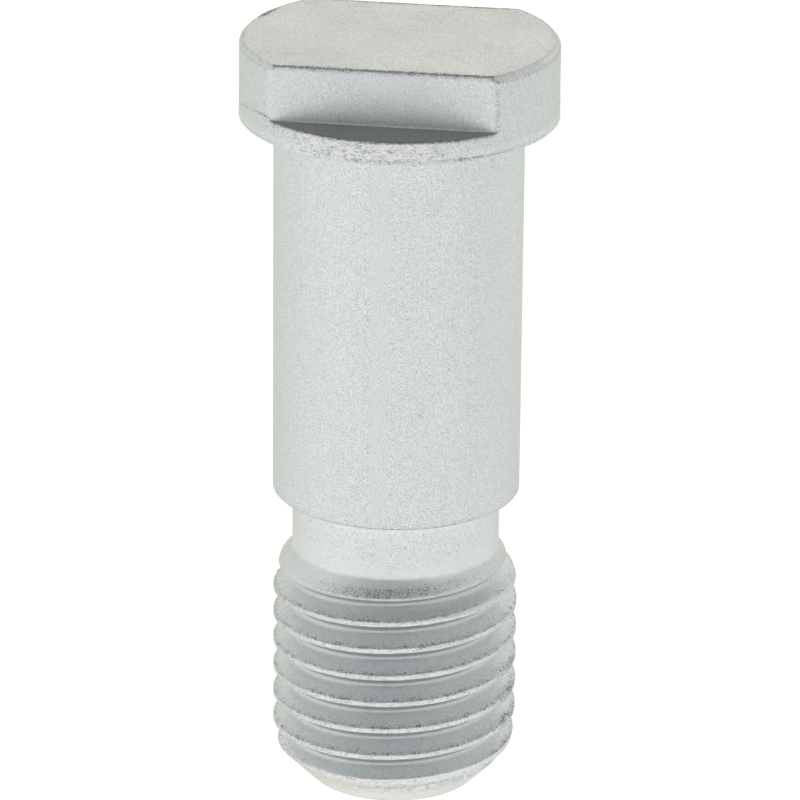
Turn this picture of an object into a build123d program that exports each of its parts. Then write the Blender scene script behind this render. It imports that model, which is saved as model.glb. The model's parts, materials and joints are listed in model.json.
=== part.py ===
"""Bearing bolt: one solid with a flatted round head, a plain bearing shank, a thread relief and a
coarse M30 thread. It stands on its threaded end, head up, with the origin at the centre of the end
face and the two flats of the head facing -Y and +Y."""
import os
from math import ceil, radians, tan

from build123d import *

# ---- head (mm) ----
head_diameter = 38.3        # round ends of the head, and the collar below its flats
head_height = 9.65          # from the seat under the head to its top face
collar_height = 2.8         # full round part of the head
across_flats = 27.0
head_chamfer = 0.7          # turned on the top edge before the flats are cut
flat_edge_radius = 0.25     # top edge of each flat
flat_corner_radius = 0.6    # upright edges where the flats meet the round ends
seat_edge_chamfer = 0.1     # lower outer edge of the head

# ---- shank and relief ----
shank_diameter = 30.0       # bearing surface
shank_length = 47.4         # from the seat under the head to the relief
seat_bevel = 0.6            # 45 degree bevel between the shank and the seat under the head
shank_edge_chamfer = 0.2    # lower edge of the shank
relief_length = 7.5
relief_depth = 2.4          # below the smaller of the shank and the thread's nominal radius
relief_radius = 1.6         # inner corner under the shank

# ---- thread, M30 x 3.5, right-hand ----
thread_size = 30.0          # nominal diameter
thread_length = 30.1        # from the relief to the end face
pitch = 3.5
flank_angle = 30.0          # each flank, from the cross-section plane (degrees)
crest_allowance = 0.1       # crests below the nominal radius
crest_level = 1.63          # height of a crest above the end face, on the +X side
cutter_overlap = 0.15       # how far the groove's cutter stands out over the crests

# ---- ends of the thread ----
lead_in_height = 4.1        # 45 degree cone on the end
lead_in_step = 0.5          # crests at the top of that cone, below the full height
lead_in_taper = 2.4         # length over which they rise to it
run_out_height = 1.9        # cone from the thread down to the relief
run_out_step = 0.85         # crests at the top of that cone, below the full height
run_out_taper = 2.6         # length over which they fall to it

# ---- radii and levels ----
head_r = head_diameter / 2
shank_r = shank_diameter / 2
relief_r = min(shank_r, thread_size / 2) - relief_depth
crest_r = thread_size / 2 - crest_allowance
lead_in_r = crest_r - lead_in_step
end_r = lead_in_r - lead_in_height

relief_level = thread_length
run_out_level = relief_level - run_out_height
shoulder_level = relief_level + relief_length
seat_level = shoulder_level + shank_length
ledge_level = seat_level + collar_height
top_level = seat_level + head_height

# ---- section of the thread groove, from the proportions of the ISO metric profile ----
flank_slope = tan(radians(flank_angle))
sharp_height = pitch / 2 / flank_slope
pitch_r = thread_size / 2 - sharp_height * 3 / 8
root_r = thread_size / 2 - sharp_height * 17 / 24
reach_r = crest_r + cutter_overlap
root_z = pitch / 4 - (pitch_r - root_r) * flank_slope
reach_z = pitch / 4 + (reach_r - pitch_r) * flank_slope

# the groove runs from below the end face to above the thread, in pieces of less than a turn
groove_start = crest_level - pitch / 2 - pitch
groove_height = relief_level + reach_z - groove_start
groove_pieces = ceil(groove_height / pitch)
piece_height = groove_height / groove_pieces
piece_turn = 360 * piece_height / pitch

# radius, level and corner radius, up one side of the turned blank
outline = [
    (0, 0, 0),
    (end_r, 0, 0),
    (lead_in_r, lead_in_height, 0),
    (crest_r, lead_in_height + lead_in_taper, 0),
    (crest_r, run_out_level - run_out_taper, 0),
    (crest_r - run_out_step, run_out_level, 0),
    (relief_r, relief_level, 0),
    (relief_r, shoulder_level, relief_radius),
    (shank_r - shank_edge_chamfer, shoulder_level, 0),
    (shank_r, shoulder_level + shank_edge_chamfer, 0),
    (shank_r, seat_level - seat_bevel, 0),
    (shank_r + seat_bevel, seat_level, 0),
    (head_r - seat_edge_chamfer, seat_level, 0),
    (head_r, seat_level + seat_edge_chamfer, 0),
    (head_r, top_level - head_chamfer, 0),
    (head_r - head_chamfer, top_level, 0),
    (0, top_level, 0),
]

with BuildPart() as groove_piece:
    with BuildLine() as groove_path:
        Helix(pitch, piece_height, pitch_r)
    with BuildSketch(Plane.XZ):
        with BuildLine():
            Polyline((reach_r, -reach_z), (root_r, -root_z), (root_r, root_z), (reach_r, reach_z), close=True)
        make_face()
    sweep(path=groove_path.line, is_frenet=True)

with BuildPart() as bolt:
    # the turned blank, with the head still fully round
    with BuildSketch(Plane.XZ):
        with BuildLine():
            corners = [(radius, level) for radius, level, corner in outline]
            FilletPolyline(*corners, radius=[corner for radius, level, corner in outline], close=True)
        make_face()
    revolve(axis=Axis.Z)

    # the two flats, cut down to the collar
    with BuildSketch(Plane.XY.offset(ledge_level)):
        Circle(head_diameter)
        Rectangle(2 * head_diameter, across_flats, mode=Mode.SUBTRACT)
    extrude(amount=head_height, mode=Mode.SUBTRACT)

    flats = bolt.faces().filter_by(Plane.XZ)
    fillet(flats.edges().filter_by(Axis.X).group_by(Axis.Z)[-1], flat_edge_radius)
    flats = bolt.faces().filter_by(Plane.XZ)
    fillet(flats.edges().filter_by(Axis.Z), flat_corner_radius)

    # the thread, cut piece by piece up the helix
    for piece in range(groove_pieces):
        with Locations(Location((0, 0, groove_start + piece * piece_height), (0, 0, piece * piece_turn))):
            add(groove_piece.part, mode=Mode.SUBTRACT)

bolt.part.label = "bearing_bolt"

os.makedirs("parts", exist_ok=True)
export_step(bolt.part, "parts/bearing_bolt.step")
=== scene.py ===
"""Looks of the bearing bolt: one dense skin over the CAD solid, in zinc-plated steel with a blasted
grain, on a pale floor in a soft studio. Lengths in the shape functions are in millimetres, and
become metres where the mesh is made. Those functions work on all columns of the mesh at once: a
value of a row is one number, or one for each column. Directions round the bolt are in degrees from
+X."""
import json
import math
from collections import namedtuple

import bmesh
import bpy
import numpy as np
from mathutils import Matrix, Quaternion, Vector, noise


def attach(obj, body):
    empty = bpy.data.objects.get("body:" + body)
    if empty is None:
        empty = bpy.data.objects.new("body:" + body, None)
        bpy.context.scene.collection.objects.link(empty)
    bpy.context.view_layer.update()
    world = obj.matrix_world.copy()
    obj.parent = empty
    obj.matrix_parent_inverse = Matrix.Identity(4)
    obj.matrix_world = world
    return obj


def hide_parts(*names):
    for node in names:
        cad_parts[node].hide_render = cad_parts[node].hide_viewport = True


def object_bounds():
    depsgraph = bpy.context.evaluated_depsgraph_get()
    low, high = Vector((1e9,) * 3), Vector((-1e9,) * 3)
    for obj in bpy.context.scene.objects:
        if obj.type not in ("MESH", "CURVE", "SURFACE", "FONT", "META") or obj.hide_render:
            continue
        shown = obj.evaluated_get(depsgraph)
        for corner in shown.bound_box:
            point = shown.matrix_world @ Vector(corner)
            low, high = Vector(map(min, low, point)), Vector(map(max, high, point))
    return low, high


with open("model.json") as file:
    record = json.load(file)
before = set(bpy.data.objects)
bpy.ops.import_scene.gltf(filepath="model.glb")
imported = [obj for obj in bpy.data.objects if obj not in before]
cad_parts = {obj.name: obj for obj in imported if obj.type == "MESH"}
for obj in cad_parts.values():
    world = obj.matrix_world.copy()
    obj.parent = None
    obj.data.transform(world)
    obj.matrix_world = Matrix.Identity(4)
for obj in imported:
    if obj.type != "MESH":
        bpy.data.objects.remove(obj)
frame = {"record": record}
cad_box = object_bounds()

MM = 0.001
TURN = 2 * math.pi
NODE = "bearing_bolt"
SKIN = "bolt_skin"
mounts = {mount["name"]: mount for mount in frame["record"]["mounts"]}

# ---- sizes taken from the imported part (mm) ----
head_r = cad_box[1].x / MM
top_level = cad_box[1].z / MM
seat_level = mounts["under_head_seat"]["pos_m"][2] / MM
flat_y = mounts["flat_back"]["pos_m"][1] / MM
shank_r = mounts["bearing_shank"]["dims"]["r_mm"]
crest_r = mounts["thread"]["dims"]["r_mm"]
thread_length = mounts["thread"]["dims"]["length_mm"]

# ---- head (mm) ----
collar_height = 2.8
head_chamfer = 0.7
chamfer_growth = 0.11       # how much wider that chamfer is at +X, and narrower at -X
flat_edge_radius = 0.25
corner_blend = 0.5          # softness of the upright edges between flats and round ends
rim_blend = 0.2             # softness of the chamfer's lower edge
ledge_edge_radius = 0.25    # outer edge of the ledge
ledge_corner_radius = 0.25  # inner corner of the ledge, at the foot of each flat
least_ledge = 0.15          # a narrower ledge is left out
ledge_level = seat_level + collar_height

# ---- shank and neck (mm) ----
relief_r = 12.6
relief_length = 7.5
relief_radius = 1.6
relief_foot_radius = 0.45   # where the run-out cone meets the neck
relief_foot_fill = 0.16     # share of that radius that the rounding fills in
shank_edge_chamfer = 0.2
seat_bevel = 0.6
seat_edge_chamfer = 0.2     # worn wider than the solid's 0.1
shoulder_level = thread_length + relief_length
neck_start = thread_length + relief_foot_radius     # where the helical rows end, in the neck

# ---- thread (mm) ----
pitch = 3.5
flank_angle = math.radians(30)
flank_slope = math.tan(flank_angle)
crest_level = 1.63          # height of a crest above the end face, on the +X side
crest_half_width = 0.2766
crest_edge_blend = 0.07     # softness of a crest's two edges
root_radius = 0.505
lead_in_height = 4.1
lead_in_step = 0.5
lead_in_taper = 2.4
run_out_height = 1.9
run_out_step = 0.85
run_out_taper = 2.6
blank_rise = 0.15           # the blank stands this much over the full crests
blank_rise_length = 0.4
blank_blend = 0.10          # softness where the thread's section meets the blank
cut_fade = 0.35             # depth of cut over which the marks of the thread come in

# ---- wear of the thread ----
nick_depth = 0.25           # mm
patch_crest_level = 28.8    # level of the last crest at the front, under the dirty patch (mm)
knocked_below = 17          # crests are knocked up to this level (mm)

# ---- directions of the marks round the bolt (degrees) ----
front = 278                 # towards the camera
knocked_side = 350          # knocked crests
cone_line_side = 335        # dark line along the top of the lead-in cone
collar_side = 266           # rough stretch of the collar
lower_edge_side = 285       # dirt on the collar's lower edge
nick_side = 158             # nick in the head's top edge
parting_from = 194          # start of the forging's parting line
parting_tip = 222           # its highest place
parting_to = 227            # its end

# ---- mesh ----
columns = 360
corner_angle = math.asin(flat_y / head_r)
corner_crowding = 5.0       # columns added at the four upright edges, for each one without
corner_crowding_width = math.radians(2.5)
longest_step = 4.0          # between rings of the shank (mm)

# heights of the helical rows over one pitch, from root to root, closest at the crest's edges
rows_under = [-1.5, -1.33, -1.2, -0.8, -0.42, -0.3, -0.22]
rows_over = [0.12, 0.2, 0.28, 0.36, 0.46, 0.6, 0.85, 1.2, 1.33, 1.5]
row_phases = np.array([-pitch / 2] + rows_under + [0.0] + rows_over)
rows_per_turn = len(row_phases)

# A row of the mesh: its radius and level, and what the material reads from point attributes. Those
# are shares of dark specks, of bright wear together with painted highlights, of forged blotches,
# and of blasted grain, made stronger at the front of the shank as painted glints. Last is the tone:
# above
# 0 where the metal is made paler, as fresh-cut metal and partly as painted light, and below 0 where
# it is made darker, as painted shade.
Row = namedtuple("Row", "radius level specks worn forged grainy tone")
ATTRIBUTES = Row._fields[2:]


def column_angles():
    """Angles of the mesh's columns, closer together at the four upright edges of the head."""
    fine = np.linspace(0, TURN, 20001)
    density = np.ones_like(fine)
    for corner in (corner_angle, math.pi - corner_angle, math.pi + corner_angle, -corner_angle):
        away = (fine - corner + math.pi) % TURN - math.pi
        density += corner_crowding * np.exp(-(away / corner_crowding_width) ** 2)
    share = np.concatenate(([0], np.cumsum((density[1:] + density[:-1]) / 2)))
    return np.interp(np.arange(columns) / columns, share / share[-1], fine)


theta = column_angles()
direction = np.degrees(theta)


def held(value):
    """value, held between 0 and 1."""
    return np.clip(value, 0, 1)


def smooth_min(a, b, blend):
    """The lower of a and b, with a rounded change from one to the other."""
    near = np.maximum(blend - np.abs(a - b), 0) / blend
    return np.minimum(a, b) - near ** 2 * blend / 4


def noise_field(points, size, seed):
    """Smooth noise from about -1 to 1 at points (n, 3) in mm, with features of the given size."""
    shift = Vector((seed * 17.3, seed * 5.1, seed * 29.7))
    return np.array([noise.noise(Vector(p) / size + shift) for p in points])


def on_ring(radius, level):
    """Points (n, 3) at the columns' angles for the radius and level of one row."""
    return np.stack([radius * np.cos(theta), radius * np.sin(theta), level * np.ones(columns)], 1)


def facing(side, width):
    """How much every column faces that side, falling off over about width degrees each way."""
    away = (direction - side + 180) % 360 - 180
    return np.exp(-(away / width) ** 2)


# ---------------------------------------------------------------- thread

def blank_radius(level):
    """Radius of the turned blank along the thread, with a small fillet at the foot of the neck."""
    run_out_level = thread_length - run_out_height
    lead_in_r = crest_r - lead_in_step
    full_from = lead_in_height + lead_in_taper
    full_to = run_out_level - run_out_taper
    levels = [0, lead_in_height, full_from, full_from + blank_rise_length,
              full_to - blank_rise_length, full_to, run_out_level, thread_length, neck_start]
    radii = [lead_in_r - lead_in_height, lead_in_r, crest_r, crest_r + blank_rise,
             crest_r + blank_rise, crest_r, crest_r - run_out_step, relief_r, relief_r]
    radius = np.interp(level, levels, radii)
    foot = held(1 - np.abs(level - thread_length) / relief_foot_radius)
    return radius + relief_foot_fill * relief_foot_radius * foot ** 2


def thread_radius(around, half_width):
    """Radius of the thread's section at a height around the middle of a crest that wide."""
    from_crest = np.abs(around)
    flank = crest_r - (from_crest - half_width) / flank_slope
    radius = smooth_min(np.full_like(around, crest_r), flank, crest_edge_blend)
    from_root = pitch / 2 - from_crest
    sharp = crest_r - (pitch / 2 - crest_half_width) / flank_slope
    centre = sharp + 2 * root_radius
    arc = centre - np.sqrt(np.maximum(root_radius ** 2 - from_root ** 2, 0))
    in_root = from_root < root_radius * math.cos(flank_angle)
    return np.where(in_root, np.maximum(arc, radius), radius)


def crest_raggedness(at, around):
    """How far a crest's edges stray outwards, more at the upper edge, fading down the flanks."""
    upper = held(around / 0.1)
    ragged = 0.16 * noise_field(at, 0.9, seed=1) + 0.13 * noise_field(at, 0.42, seed=2)
    ragged = ragged * (0.3 + 0.7 * upper) + 0.08 * upper
    beyond = np.maximum(np.abs(around) - crest_half_width, 0)
    return ragged * np.exp(-beyond / 0.22)


def crest_wear(at, around):
    """Bright wear on the crests, in stretches, most of it at the front."""
    on_crest = held(1 - (np.abs(around) - 0.26) / 0.22)
    return on_crest * held(0.35 + 0.65 * facing(front, 50) + 0.5 * noise_field(at, 4.0, seed=4))


def dirty_patch(level, around):
    """Dirt gathered at the front, on the run-out's flank just above the last crest."""
    on_last = np.abs(level - around - patch_crest_level) < 1.2
    rise = held((around + 0.75) / 0.25) * held((0.9 - around) / 0.5)
    return 0.88 * on_last * rise * facing(front, 46)


def crest_dirt(around, torn):
    """Dirt in a torn line over each crest, more at the front, that thins up the flank."""
    line = held((around - 0.15 - torn) / 0.12) * held((0.75 - around) / 0.30)
    haze = held((around - 0.2) / 0.2) * held((1.5 - around) / 0.9)
    on_crest = np.abs(around) < 0.3
    return np.max(((0.64 + 0.20 * facing(front, 60)) * line, 0.42 * haze, 0.50 * on_crest), axis=0)


def thread_row(turn, phase):
    """The helical row at a height phase above the crest of a turn, held to the thread's stretch."""
    level = crest_level + pitch * (turn + theta / TURN) + phase
    level = np.clip(level, 0, neck_start)
    # height around the nearest crest, whatever turn a held level lies in
    around = (level - crest_level - pitch * theta / TURN + pitch / 2) % pitch - pitch / 2
    at = on_ring(crest_r, level)
    blank = blank_radius(level)
    cut = thread_radius(around, crest_half_width + crest_raggedness(at, around))
    nicks = held(noise_field(at, 1.1, seed=3) - 0.42) * held(1 - np.abs(around) / 0.45)
    radius = smooth_min(blank, cut - nick_depth * nicks, blank_blend)
    in_thread = held((blank - cut + cut_fade) / cut_fade) * (radius > relief_r + 0.1)

    # where the lead-in cone cuts the first turns, the metal is bright, with a dark line along it
    torn = 0.10 * noise_field(at, 0.7, seed=9)
    gap = cut - blank + 2 * torn
    cone_edge = np.minimum(held(1.4 - gap / 2.2), held(1.5 + gap / 0.9))
    cone_edge = cone_edge * (level < lead_in_height + 0.5)
    cone_line = held(1.2 - np.abs(gap) / 0.3) * (level < lead_in_height + 1.5)

    knocked = (np.abs(around) < 0.6) * (level < knocked_below) * in_thread
    specks = (
        crest_dirt(around, torn) * in_thread,
        dirty_patch(level, around),
        0.9 * knocked * facing(knocked_side, 22),
        0.9 * cone_line * facing(cone_line_side, 45),
        0.62 * cone_edge,
    )
    # the lead-in cone and the neck are paler: fresh-cut metal, and partly painted light. The flanks
    # at the front are darker: painted shade, laid on by the direction round the bolt
    fresh_and_painted_light = (level < lead_in_height) * (1 - in_thread) + 0.55 * (level > thread_length + 0.1)
    painted_front_shade = 0.27 * facing(front, 60) * (np.abs(around) > 0.5) * (radius < crest_r - 0.3)
    tone = fresh_and_painted_light - painted_front_shade * in_thread
    worn = np.maximum(crest_wear(at, around) * in_thread, cone_edge)
    return Row(radius, level, np.max(specks, axis=0), worn,
               forged=0.8 * (1 - held(tone)), grainy=0.22, tone=tone)


def thread_rows():
    """The helical rows, from below the end face to the neck."""
    turns = range(-2, math.ceil(neck_start / pitch) + 2)
    return [thread_row(turn, phase) for turn in turns for phase in row_phases]


# ---------------------------------------------------------------- end face and shank

def end_face_rows():
    """Rings of the end face, from its centre out to the foot of the lead-in cone."""
    end_r = crest_r - lead_in_step - lead_in_height
    return [Row(radius, 0, specks=0, worn=0, forged=0, grainy=0, tone=1)
            for radius in (0, 2.5, 5, 7.5, end_r - 0.3, end_r - 0.1)]


def rounded_path(corners):
    """(radius, level) points along a path of (radius, level, corner radius), with its corners
    turned into curves and its straight stretches divided."""
    path = [np.array(corners[0][:2], float)]
    for before, here, after in zip(corners, corners[1:], corners[2:]):
        a, b, c = (np.array(point[:2], float) for point in (before, here, after))
        into, out = (a - b) / np.linalg.norm(a - b), (c - b) / np.linalg.norm(c - b)
        half = math.acos(np.clip(np.dot(into, out), -1, 1)) / 2
        reach = here[2] / math.tan(half)
        steps = max(3, round(5 * here[2]))
        for step in range(steps + 1):
            t = step / steps
            path.append(b + reach * ((1 - t) ** 2 * into + t ** 2 * out))
    path.append(np.array(corners[-1][:2], float))
    points = [path[0]]
    for end in path[1:]:
        pieces = max(1, math.ceil(np.linalg.norm(end - points[-1]) / longest_step))
        points += [points[-1] + (end - points[-1]) * (i + 1) / pieces for i in range(pieces)]
    return points


def shank_marks(radius, level):
    """Specks on the shank's lower edge and the head, bright wear on the collar's front, and painted
    highlights on the seat's outer edge and on the fillet under the shank.
    """
    # the seat's outer edge is made bright: a painted highlight
    seat_edge_highlight = (np.abs(level - seat_level) < 0.22) * (radius > head_r - 0.3)
    if level > seat_level + 0.2:
        return edge_specks(radius, level), np.maximum(seat_edge_highlight, collar_front(radius, level))
    to_edge = level - shoulder_level
    on_shank = held((radius - shank_r + 0.6) / 0.3)
    specks = 0.5 * on_shank * held(to_edge / 0.05) * held((0.8 - to_edge) / 0.5)
    # the fillet under the shank's lower edge is made bright: a painted highlight
    fillet = held(1.3 - np.abs(to_edge + 1.2) / 0.7) * (radius < shank_r - 1)
    return specks, np.maximum(0.9 * fillet, seat_edge_highlight)


def shank_rows():
    """Rings of the neck, the shoulder, the shank, the head's underside and the collar's foot."""
    path = rounded_path([
        (relief_r, neck_start, 0),
        (relief_r, shoulder_level, relief_radius),
        (shank_r - shank_edge_chamfer, shoulder_level, 0.08),
        (shank_r, shoulder_level + shank_edge_chamfer, 0.08),
        (shank_r, shoulder_level + 0.5, 0),
        (shank_r, shoulder_level + 0.9, 0),
        (shank_r, seat_level - seat_bevel, 0.15),
        (shank_r + seat_bevel, seat_level, 0.15),
        (head_r - seat_edge_chamfer, seat_level, 0.04),
        (head_r, seat_level + seat_edge_chamfer, 0.04),
        (head_r, seat_level + 0.25, 0),
        (head_r, seat_level + 0.45, 0),
        (head_r, seat_level + 0.7, 0),
        (head_r, seat_level + 1.0, 0),
    ])
    # the grain is made stronger towards the front: painted glints. The neck and the fillet under
    # the shank are paler by the tone: partly painted light
    blasted = 0.56 + 0.23 * facing(front, 50)
    return [Row(radius, level, *shank_marks(radius, level),
                forged=0, grainy=blasted, tone=0.55 * (radius < shank_r - 0.5))
            for radius, level in path[1:]]


# ---------------------------------------------------------------- head

def chamfer_width():
    """Width of the chamfer on the head's top edge at every column: uneven, and wider towards +X."""
    at = on_ring(head_r, top_level)
    uneven = 0.08 * noise_field(at, 3.0, seed=7) + 0.05 * noise_field(at, 0.9, seed=8)
    return head_chamfer + chamfer_growth * np.cos(theta) + uneven


def parting_level():
    """Level of the parting line on the round end at -X, at every column."""
    return ledge_level + 0.4 - 0.0018 * (direction - parting_tip) ** 2


def parting_share():
    """How clear the parting line is at every column, fading out on the round end."""
    return held((direction - parting_from) / 8) * held((parting_to - direction) / 4)


def parting_groove(level):
    """Depth of the parting line's groove at a level, at every column."""
    return 0.10 * parting_share() * np.exp(-((level - parting_level()) / 0.12) ** 2)


def head_radius(level):
    """Radius of the head above the collar at a level, at every column."""
    edge = head_r - np.maximum(level - (top_level - chamfer_width()), 0)
    round_end = smooth_min(np.full(columns, head_r), edge + 0.03, rim_blend)
    rise = np.maximum(level - (top_level - flat_edge_radius), 0)
    drop = flat_edge_radius - np.sqrt(np.maximum(flat_edge_radius ** 2 - rise ** 2, 0))
    flat = (flat_y - drop) / np.maximum(np.abs(np.sin(theta)), 1e-6)
    return smooth_min(round_end, flat, corner_blend) - parting_groove(level)


def collar_front(radius, level):
    """How far a place lies on the rough front of the collar's side, fading to both sides."""
    stretch = held(1.6 - np.abs(direction - collar_side) / 32)
    return stretch * held(1 - np.abs(radius - head_r) / 0.3) * (level < ledge_level)


def edge_specks(radius, level):
    """How thickly dark specks gather at a place on the head."""
    ledge = held((head_r - head_radius(ledge_level) - 0.1) / 0.5)
    on_flat = held(ledge * 2)
    on_side = held(1 - np.abs(radius - head_r) / 0.3)
    to_ledge = np.hypot(level - ledge_level, radius - head_r)
    to_seat = np.abs(level - seat_level - 0.35)
    to_top = np.hypot(level - top_level + 0.1, radius - head_radius(top_level))
    to_chamfer = np.abs(level - top_level + chamfer_width())
    to_upright = np.abs(theta - TURN + corner_angle) * head_r
    beside_flat = (level > ledge_level) * (level < top_level - 0.05)
    lower_front = held(1.6 - np.abs(direction - lower_edge_side) / 28)
    rim = 1.0 * ledge * held(1.25 - to_ledge / 0.55)
    collar = 0.70 * collar_front(radius, level)
    lower_edge = (0.4 + 0.45 * lower_front) * on_side * held(1.3 - to_seat / 0.35)
    top_edge = (0.45 + 0.55 * on_flat) * held(1.3 - to_top / (0.5 + 0.14 * on_flat))
    chamfer_edge = 0.6 * on_side * held(1.3 - to_chamfer / 0.3)
    knocked_upright = 0.62 * beside_flat * held(1.3 - to_upright / 0.5)
    parting = 1.15 * held(1 - np.abs(level - parting_level()) / 0.22) * parting_share()
    nick = 1.3 * held(1.4 - np.abs(direction - nick_side) / 8) * held(1.2 - to_top / 1.1)
    return np.max((rim, collar, lower_edge, top_edge, chamfer_edge, knocked_upright, parting, nick),
                  axis=0)


def side_row(radius, level, round_end):
    """A ring of the collar's side, the ledges, or the flats with the round ends between them."""
    on_flat = 1 - round_end
    over = held((level - ledge_level) / 0.2)
    on_ledge = on_flat * (1 - over) * held((head_r - radius) / 0.2)
    # the flats are made a little darker and the ledges much darker by the tone: painted shade
    return Row(radius, level, edge_specks(radius, level), collar_front(radius, level),
               forged=np.maximum(round_end, 1 - over),
               grainy=0.7 - 0.25 * round_end - 0.5 * on_ledge,
               tone=-0.15 * on_flat * over - on_ledge)


def head_rows():
    """Rings from the collar's side over the ledges and up the flats and round ends to the top."""
    rim = head_r - parting_groove(ledge_level)
    foot = head_radius(ledge_level)
    ledge = np.where(rim - foot > least_ledge, rim - foot, 0)
    outer = np.minimum(ledge_edge_radius, ledge / 3)
    inner = np.minimum(ledge_corner_radius, ledge / 3)
    foot = np.where(ledge > 0, foot, rim)
    quarter = np.radians((0, 30, 60, 90))
    places = [(head_r - parting_groove(level), level)
              for level in ledge_level - np.array((1.3, 1.0, 0.8, 0.6, 0.45, 0.35))]
    places += [(rim - outer * (1 - np.cos(turn)), ledge_level - outer * (1 - np.sin(turn)))
               for turn in quarter]
    places += [(rim - outer + (foot + inner - rim + outer) * share, ledge_level)
               for share in (0.08, 0.35, 0.65, 0.92)]
    places += [(foot + inner * (1 - np.sin(turn)), ledge_level + inner * (1 - np.cos(turn)))
               for turn in quarter]
    above = (0.33, 0.42, 0.55, 0.8, 1.2, 2.0, 3.2, 4.4, 5.3)
    below = (1.0, 0.85, 0.75, 0.65, 0.55, 0.42, 0.3, 0.22, 0.15, 0.09, 0.04, 0)
    levels = [ledge_level + rise for rise in above] + [top_level - drop for drop in below]
    places += [(head_radius(level), level) for level in levels]
    round_end = held(1 - (head_r - head_radius(ledge_level + 1.0)) / 0.3)
    return [side_row(radius, level, round_end) for radius, level in places]


def top_rows():
    """Rings of the top face, from its edge in to the centre."""
    edge = head_radius(top_level)
    # the top face is paler by the tone: partly painted light
    return [Row(edge * share, top_level, edge_specks(edge * share, top_level),
                worn=0, forged=1, grainy=0.55, tone=0.68)
            for share in (0.992, 0.97, 0.93, 0.86, 0.76, 0.64, 0.5, 0.36, 0.22, 0.1, 0)]


# ---------------------------------------------------------------- skin

def spread(rows, field):
    """One field of all rows, as an array (rows, columns)."""
    return np.array([np.broadcast_to(getattr(row, field), columns) for row in rows], float)


def surface_drift(points):
    """Inward drift of the surface (mm), as forging and turning leave it: broad on the head, and
    very slight on the shank and thread."""
    broad = noise_field(points, 6.0, seed=5)
    fine = noise_field(points, 1.5, seed=6)
    on_head = held((points[:, 2] - seat_level - 0.1) / 0.5)
    forged = 0.030 * (1 + broad) + 0.014 * (1 + fine)
    return on_head * forged + (1 - on_head) * 0.003 * (1 + fine)


def skin_points(rows):
    """Every point of the skin (n, 3) in mm, row by row."""
    radius, level = spread(rows, "radius"), spread(rows, "level")
    points = np.stack([radius * np.cos(theta), radius * np.sin(theta), level], 2).reshape(-1, 3)
    drift = surface_drift(points)
    span = np.maximum(np.hypot(points[:, 0], points[:, 1]), 1e-9)
    on_top = points[:, 2] > top_level - 0.01
    points[:, 0] -= np.where(on_top, 0, drift) * points[:, 0] / span
    points[:, 1] -= np.where(on_top, 0, drift) * points[:, 1] / span
    points[:, 2] -= np.where(on_top, drift, 0)
    return points


def skin_faces(row_count, first, last):
    """Quads between neighbouring rows. Past the last column, a helical row (first to last) goes on
    in the row one turn up."""
    faces = []
    for row in range(row_count - 1):
        for column in range(columns):
            over = column + 1 == columns
            turn = rows_per_turn if over and first <= row < last - 1 else 0
            if turn and row + turn + 1 >= last:
                continue
            right = (column + 1) % columns
            corners = ((row, column), (row + turn, right),
                       (row + turn + 1, right), (row + 1, column))
            faces.append([at_row * columns + at_column for at_row, at_column in corners])
    return faces


def weld(mesh):
    """Merge the points that lie together, drop what that leaves over, and smooth the shading."""
    tidy = bmesh.new()
    tidy.from_mesh(mesh)
    bmesh.ops.remove_doubles(tidy, verts=tidy.verts, dist=2e-6)
    bmesh.ops.dissolve_degenerate(tidy, edges=tidy.edges, dist=1e-6)
    loose = [vert for vert in tidy.verts if not vert.link_faces]
    bmesh.ops.delete(tidy, geom=loose, context="VERTS")
    for face in tidy.faces:
        face.smooth = True
    tidy.to_mesh(mesh)
    tidy.free()
    mesh.update()


def make_skin():
    """The bolt's skin as one mesh object, with what the material reads kept in point attributes."""
    lower, helical = end_face_rows(), thread_rows()
    rows = lower + helical + shank_rows() + head_rows() + top_rows()
    faces = skin_faces(len(rows), len(lower), len(lower) + len(helical))
    mesh = bpy.data.meshes.new(SKIN)
    mesh.from_pydata((skin_points(rows) * MM).tolist(), [], faces)
    for name in ATTRIBUTES:
        values = spread(rows, name).reshape(-1)
        mesh.attributes.new(name, "FLOAT", "POINT").data.foreach_set("value", values)
    weld(mesh)
    skin = bpy.data.objects.new(SKIN, mesh)
    bpy.context.collection.objects.link(skin)
    return skin


# ---------------------------------------------------------------- nodes

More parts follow.
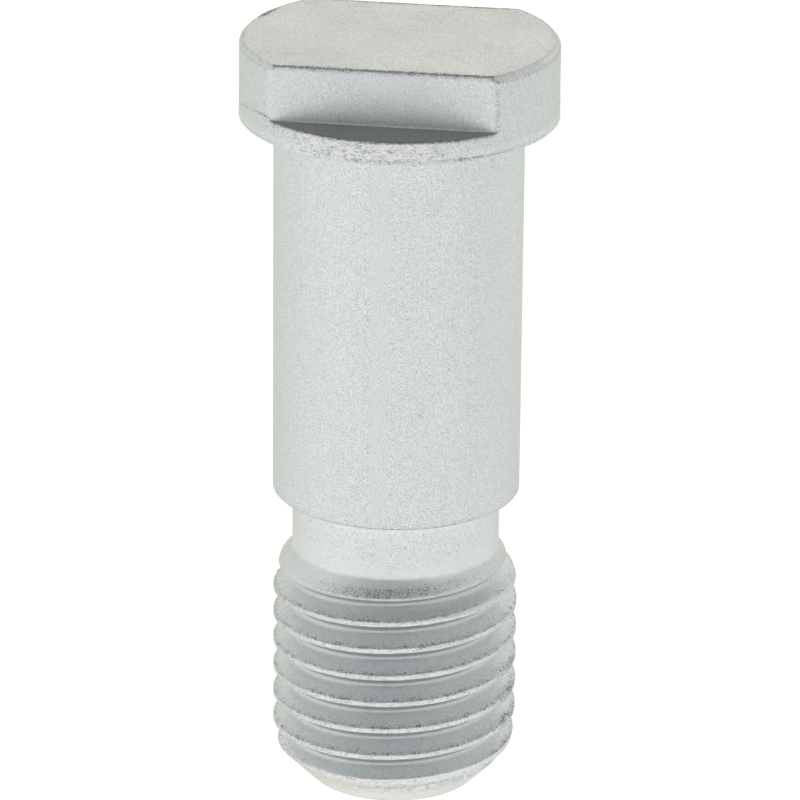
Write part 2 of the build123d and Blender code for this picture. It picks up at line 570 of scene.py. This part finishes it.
class Nodes:
    """Adds nodes to a node tree. A value is a number, an (r, g, b) or the output of a node."""

    def __init__(self, tree):
        self.tree = tree

    def put(self, socket, value):
        """Give a socket its value."""
        if isinstance(value, (int, float)):
            socket.default_value = value
        elif isinstance(value, tuple):
            socket.default_value = (*value, 1)
        else:
            self.tree.links.new(value, socket)

    def add(self, kind, **inputs):
        """A node with the named inputs given."""
        node = self.tree.nodes.new("ShaderNode" + kind)
        for name, value in inputs.items():
            self.put(node.inputs[name], value)
        return node

    def math(self, operation, a, b=0.0):
        """A math operation on two numbers."""
        node = self.add("Math")
        node.operation = operation
        self.put(node.inputs[0], a)
        self.put(node.inputs[1], b)
        return node.outputs[0]

    def times(self, a, b):
        """a times b."""
        return self.math("MULTIPLY", a, b)

    def highest(self, first, *others):
        """The highest of the numbers."""
        for other in others:
            first = self.math("MAXIMUM", first, other)
        return first

    def vector(self, operation, vector):
        """A vector operation's node."""
        node = self.add("VectorMath")
        node.operation = operation
        self.put(node.inputs[0], vector)
        return node

    def ramp(self, value, low, high, to_low=0.0, to_high=1.0):
        """value moved from low..high to to_low..to_high, and held at the ends."""
        node = self.add("MapRange")
        bounds = {"Value": value, "From Min": low, "From Max": high,
                  "To Min": to_low, "To Max": to_high}
        for name, bound in bounds.items():
            self.put(node.inputs[name], bound)
        return node.outputs["Result"]

    def mix(self, share, a, b):
        """Colour a turned into colour b by share."""
        node = self.add("Mix")
        node.data_type = "RGBA"
        for index, value in ((0, share), (6, a), (7, b)):
            self.put(node.inputs[index], value)
        return node.outputs[2]

    def noise(self, place, size, detail=2.0, roughness=0.5):
        """Noise with features of about that size in mm, from 0 to 1."""
        return self.add("TexNoise", Vector=place, Scale=1 / (size * MM), Detail=detail,
                        Roughness=roughness).outputs["Fac"]

    def attribute(self, name):
        """The value of a point attribute."""
        node = self.add("Attribute")
        node.attribute_name = name
        return node.outputs["Fac"]


# ---------------------------------------------------------------- material

# ---- colours of the steel ----
plating_dim = (0.820, 0.880, 0.900)
plating_light = (0.855, 0.910, 0.928)
forged_grey = (0.740, 0.755, 0.735)
fresh_cut_and_painted_light = (0.955, 0.975, 0.975)
painted_shade_grey = (0.32, 0.335, 0.335)
pale_fleck = (0.965, 0.985, 0.990)
dark_fleck = (0.45, 0.475, 0.48)
blotch_grey = (0.52, 0.53, 0.53)
haze_grey = (0.42, 0.43, 0.43)
speck_black = (0.22, 0.225, 0.23)
bright_wear_and_highlight = (0.92, 0.93, 0.925)
glancing_tint = (0.79, 0.78, 0.66)

grain_squeeze = 2.6         # the grain is this much narrower along the axis than round the bolt


def zinc_steel():
    """Blasted, zinc-plated steel: fine grain that runs a little round the bolt, faint clouding,
    dark specks where the mesh says that they gather, bright metal in flakes on rubbed edges and as
    painted highlights, and a base made paler where the metal is fresh-cut and as painted light, and
    darker as painted shade."""
    material = bpy.data.materials.new("zinc_steel")
    material.use_nodes = True
    shader = material.node_tree.nodes["Principled BSDF"]
    nodes = Nodes(material.node_tree)
    place = nodes.add("TexCoord").outputs["Object"]
    specks, worn, forged, grainy, tone = (nodes.attribute(name) for name in ATTRIBUTES)

    squeezed = nodes.vector("MULTIPLY", place)
    squeezed.inputs[1].default_value = (1, 1, grain_squeeze)
    around = squeezed.outputs[0]
    grain = nodes.noise(around, 0.14, detail=0)
    coarse = nodes.noise(place, 0.9, detail=2)
    cloud = nodes.noise(place, 7.0, detail=3)

    # plating: clouded a little, paler where the tone is above 0 (fresh-cut metal, and partly
    # painted light) and darker where it is below 0 (painted shade), with paler and darker flecks,
    # and blotched where it was forged
    colour = nodes.mix(nodes.ramp(cloud, 0.35, 0.65), plating_dim, plating_light)
    colour = nodes.mix(nodes.times(forged, 0.25), colour, forged_grey)
    colour = nodes.mix(nodes.ramp(tone, 0, 1), colour, fresh_cut_and_painted_light)
    colour = nodes.mix(nodes.ramp(tone, -1, 0, 0.75, 0), colour, painted_shade_grey)
    pale = nodes.times(grainy, nodes.ramp(grain, 0.50, 0.59))
    colour = nodes.mix(pale, colour, pale_fleck)
    dark = nodes.times(grainy, nodes.ramp(grain, 0.37, 0.485, 1, 0))
    colour = nodes.mix(dark, colour, dark_fleck)
    blotch = nodes.ramp(nodes.noise(place, 1.6, detail=3, roughness=0.65), 0.56, 0.74, 0, 0.35)
    mottle = nodes.ramp(nodes.noise(place, 0.5), 0.48, 0.66, 0, 0.22)
    blotched = nodes.times(forged, nodes.highest(blotch, mottle))
    colour = nodes.mix(blotched, colour, blotch_grey)

    # dirt: a haze and dark specks where the attribute is high, and specks here and there elsewhere
    haze = nodes.times(nodes.math("POWER", specks, 2), 0.28)
    colour = nodes.mix(haze, colour, haze_grey)
    dots = nodes.noise(around, 0.21, roughness=0.7)
    scuffs = nodes.ramp(nodes.noise(place, 2.2, detail=3), 0.62, 0.72, 0, 0.45)
    thick = nodes.highest(specks, scuffs)
    patches = nodes.times(nodes.ramp(coarse, 0.40, 0.60, -0.055, 0.045), thick)
    level = nodes.math("ADD", nodes.ramp(thick, 0, 1, 0.265, 0.48), patches)
    mark = nodes.ramp(dots, level, nodes.math("ADD", level, 0.035), 0.88, 0)
    colour = nodes.mix(mark, colour, speck_black)

    # wear, and painted highlights on the seat's edge and the fillet under the shank: pale flakes
    # that break up towards the edge of the bright band
    flakes = nodes.noise(around, 0.6, detail=4, roughness=0.75)
    flakes = nodes.math("ADD", flakes, nodes.times(worn, 0.12))
    bright = nodes.times(worn, nodes.ramp(flakes, 0.57, 0.63, 0, 0.85))
    colour = nodes.mix(bright, colour, bright_wear_and_highlight)

    rough = nodes.ramp(cloud, 0.3, 0.7, 0.38, 0.46)
    rough = nodes.math("ADD", rough, nodes.times(mark, 0.2))
    rough = nodes.math("ADD", rough, nodes.times(forged, 0.05))
    rough = nodes.math("SUBTRACT", rough, nodes.times(bright, 0.08))

    height = nodes.math("ADD", grain, nodes.times(coarse, 0.5))
    height = nodes.math("SUBTRACT", height, nodes.times(mark, 0.5))
    bump = nodes.add("Bump", Strength=0.7, Distance=0.03 * MM, Height=height)

    inputs = {"Base Color": colour, "Roughness": rough, "Normal": bump.outputs["Normal"],
              "Metallic": 1.0, "Specular Tint": glancing_tint}
    for name, value in inputs.items():
        nodes.put(shader.inputs[name], value)
    return material


# ---------------------------------------------------------------- stage

# ---- floor ----
floor_size = 6              # m
white = (1, 1, 1)
cloth_grey = (0.07, 0.07, 0.07)

# ---- light of the studio, by where it comes from ----
front_light = (0.92, 0.925, 0.915)
behind_light = (0.52, 0.51, 0.44)
right_light = (0.42, 0.415, 0.36)
room = (0.12, 0.125, 0.125)
high_light = (0.58, 0.58, 0.57)
backdrop = (1.21, 1.175, 1.185)
over_backdrop = (0.185, 0.185, 0.180)
left_side = (0.84, 0.835, 0.80)
right_side = (0.74, 0.735, 0.71)
ceiling = (0.188, 0.174, 0.158)

# ---- lamp ----
lamp_size = 1.2             # m
lamp_power = 11             # W
lamp_place = (-0.15, -0.25, 1.2)

# ---- camera, fitted to the outline in the photograph ----
azimuth, elevation, roll = (math.radians(angle) for angle in (8.1, 21.084, 0.5422))
distance = 0.72706          # m
aim_level = 0.04856         # height of the place on the bolt's axis that it looks at (m)
aim_right = 0.00039         # how far to the right of that place it looks (m)
lens = 270.25               # mm, on a sensor 36 mm wide


def pale_floor():
    """A wide floor. The camera sees it white, and so do glossy and transmission rays, a little less
    so some way off round the bolt, where the metal mirrors it. It keeps a shadow."""
    bpy.ops.mesh.primitive_plane_add(size=floor_size)
    floor = bpy.context.object
    floor.name = "floor"
    material = bpy.data.materials.new("pale_floor")
    material.use_nodes = True
    material.node_tree.nodes.clear()
    nodes = Nodes(material.node_tree)
    rays = nodes.add("LightPath").outputs
    place = nodes.add("TexCoord").outputs["Object"]
    axes = nodes.add("SeparateXYZ", Vector=place).outputs
    away = nodes.vector("LENGTH", place).outputs["Value"]

    # how pale the metal mirrors it, by the place on it (m)
    in_front = nodes.ramp(axes["Y"], -0.12, -0.05, 1, 0.85)
    behind = nodes.ramp(axes["Y"], 0.08, 0.16, 0.85, 0.96)
    close = nodes.ramp(away, 0.03, 0.07, 0.93, 0.85)
    beside = nodes.ramp(nodes.math("ABSOLUTE", axes["X"]), 0.05, 0.12, 1, 0.94)
    mirrored = nodes.highest(rays["Is Glossy Ray"], rays["Is Transmission Ray"])
    mirrored = nodes.times(mirrored, nodes.highest(in_front, behind, close))
    mirrored = nodes.times(mirrored, beside)

    strength = nodes.highest(rays["Is Camera Ray"], mirrored)
    glow = nodes.add("Emission", Color=white, Strength=strength)
    cloth = nodes.add("BsdfDiffuse", Color=cloth_grey)
    both = nodes.add("AddShader")
    nodes.put(both.inputs[0], glow.outputs[0])
    nodes.put(both.inputs[1], cloth.outputs[0])
    nodes.add("OutputMaterial", Surface=both.outputs[0])
    floor.data.materials.append(material)


def studio_world():
    """Light by direction. At eye level it is pale in front and dimmer behind and to the right. Over
    that, a bright backdrop stands right behind, the sides are pale, and in front lies a dim room
    with a soft light high up."""
    world = bpy.data.worlds.new("studio")
    bpy.context.scene.world = world
    world.use_nodes = True
    nodes = Nodes(world.node_tree)
    toward = nodes.add("TexCoord").outputs["Generated"]
    axes = nodes.add("SeparateXYZ", Vector=toward).outputs
    right, behind, up = (axes[name] for name in "XYZ")

    eye_level = nodes.mix(nodes.ramp(behind, -0.2, 0.5), front_light, behind_light)
    eye_level = nodes.mix(nodes.ramp(right, 0.2, 0.8), eye_level, right_light)
    in_front = nodes.mix(nodes.ramp(up, 0.45, 0.72), room, high_light)
    at_back = nodes.mix(nodes.ramp(up, 0.45, 0.80), backdrop, over_backdrop)
    at_sides = nodes.mix(nodes.ramp(right, -0.2, 0.2), left_side, right_side)
    higher = nodes.mix(nodes.ramp(behind, -0.35, 0.35), in_front, at_back)
    higher = nodes.mix(nodes.ramp(nodes.math("ABSOLUTE", right), 0.32, 0.72), higher, at_sides)
    colour = nodes.mix(nodes.ramp(up, -0.08, 0.22), eye_level, higher)
    colour = nodes.mix(nodes.ramp(up, 0.80, 0.97), colour, ceiling)
    nodes.put(world.node_tree.nodes["Background"].inputs["Color"], colour)


def soft_lamp():
    """A wide soft lamp overhead for the floor and its shadow. It isn't mirrored in the metal."""
    data = bpy.data.lights.new("overhead", "AREA")
    data.size = lamp_size
    data.energy = lamp_power
    lamp = bpy.data.objects.new("overhead", data)
    lamp.location = lamp_place
    lamp.rotation_mode = "QUATERNION"
    lamp.rotation_quaternion = lamp.location.to_track_quat("Z", "Y")
    lamp.visible_glossy = False
    bpy.context.collection.objects.link(lamp)


def camera():
    """A long lens, looking down a little and from the right."""
    back = Vector((math.sin(azimuth) * math.cos(elevation),
                   -math.cos(azimuth) * math.cos(elevation), math.sin(elevation)))
    data = bpy.data.cameras.new("camera")
    data.lens = lens
    data.sensor_width = 36
    view = bpy.data.objects.new("camera", data)
    view.rotation_mode = "QUATERNION"
    view.rotation_quaternion = (-back).to_track_quat("-Z", "Y") @ Quaternion((0, 0, 1), roll)
    right = view.rotation_quaternion @ Vector((1, 0, 0))
    view.location = Vector((0, 0, aim_level)) + back * distance + right * aim_right
    bpy.context.collection.objects.link(view)
    bpy.context.scene.camera = view


skin = make_skin()
skin.data.materials.append(zinc_steel())
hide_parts(NODE)
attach(skin, "root")

pale_floor()
studio_world()
soft_lamp()
camera()
bpy.context.scene.view_settings.view_transform = "Standard"
